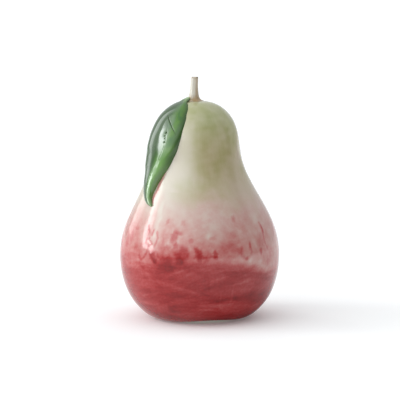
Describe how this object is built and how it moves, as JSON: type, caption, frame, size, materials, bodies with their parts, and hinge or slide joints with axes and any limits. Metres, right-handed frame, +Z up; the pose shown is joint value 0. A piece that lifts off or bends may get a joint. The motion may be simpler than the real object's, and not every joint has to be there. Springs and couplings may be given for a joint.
{
  "type": "glazed ceramic pear",
  "caption": "Decorative glazed ceramic pear with a short stem and one thick leaf laid over its shoulder, washed from green through ivory and pink to red, standing on a small flat foot.",
  "frame": {"origin": "on the surface it stands on, in the middle of the foot, under the axis of the belly", "axes": "+Z up along the axis of the pear, -Y the front, -X the side where the leaf lies"},
  "size_m": [0.1002, 0.1002, 0.1508],
  "materials": {
    "body_glaze": "clear gloss over hand-brushed washes: olive green crown, ivory middle, pink blotches, red base; bare matte foot",
    "stem_glaze": "thin semi-gloss glaze over grey ivory, tan on one side and at the cut end",
    "leaf_glaze": "thick wet-looking gloss over streaky leaf green"
  },
  "bodies": {
    "root": {"body": "body_glaze", "stem": "stem_glaze", "leaf": "leaf_glaze"}
  },
  "joints": []
}
